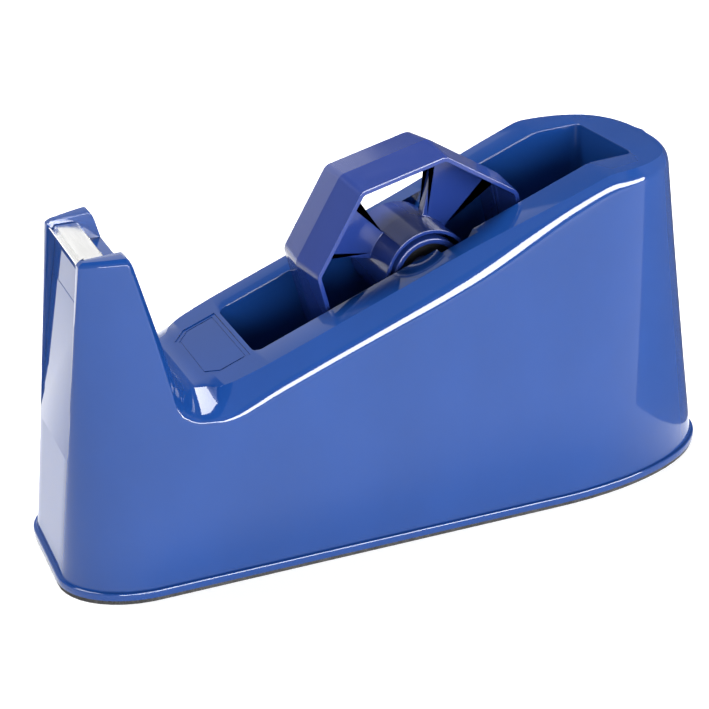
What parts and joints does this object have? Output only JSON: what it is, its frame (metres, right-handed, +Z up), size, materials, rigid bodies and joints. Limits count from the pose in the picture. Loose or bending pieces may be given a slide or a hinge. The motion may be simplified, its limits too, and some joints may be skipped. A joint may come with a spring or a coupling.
{
  "type": "desk tape dispenser",
  "caption": "Weighted desk tape dispenser: gloss moulded body with a tape well, lift-out octagonal reel on a slotted axle, and a toothed cutter between two cheeks.",
  "frame": {"origin": "on the desk, under the middle of the base's outline", "axes": "+X towards the back, the cutter is at -X; +Y across the body; +Z up"},
  "size_m": [0.221, 0.065, 0.1134],
  "materials": {
    "blue_gloss": "high gloss moulded plastic",
    "blue_satin": "satin gloss moulded plastic",
    "dark_plastic": "matte moulded plastic",
    "foam_rubber": "fine-grained foam rubber",
    "cast_weight": "rough casting",
    "zinc_steel": "bright zinc plate",
    "blade_steel": "polished steel strip",
    "axle_steel": "drawn steel rod",
    "black_nylon": "black nylon"
  },
  "bodies": {
    "base": {"housing": "blue_gloss", "base_plate": "dark_plastic", "non_slip_pad": "foam_rubber", "front_ballast": "cast_weight", "middle_ballast": "cast_weight", "rear_ballast": "cast_weight", "base_screws": "zinc_steel", "ballast_screws": "zinc_steel", "blade_holder": "blue_gloss", "cutter_blade": "blade_steel", "blade_rivets": "zinc_steel", "holder_screws": "zinc_steel"},
    "axle_set": {"axle": "axle_steel", "near_axle_cap": "blue_satin", "far_axle_cap": "blue_satin"},
    "reel": {"near_reel_half": "blue_satin", "far_reel_half": "blue_satin", "core_tube": "blue_satin", "near_bush": "black_nylon", "far_bush": "black_nylon"}
  },
  "joints": [
    {"name": "lift_out", "type": "slide", "parent": "base", "child": "axle_set", "axis": [0.5, 0, 0.866], "range_m": [0, 0.085]},
    {"name": "reel_spin", "type": "hinge", "parent": "axle_set", "child": "reel", "pos_m": [0.006, 0, 0.0768], "axis": [0, 1, 0], "continuous": true}
  ]
}
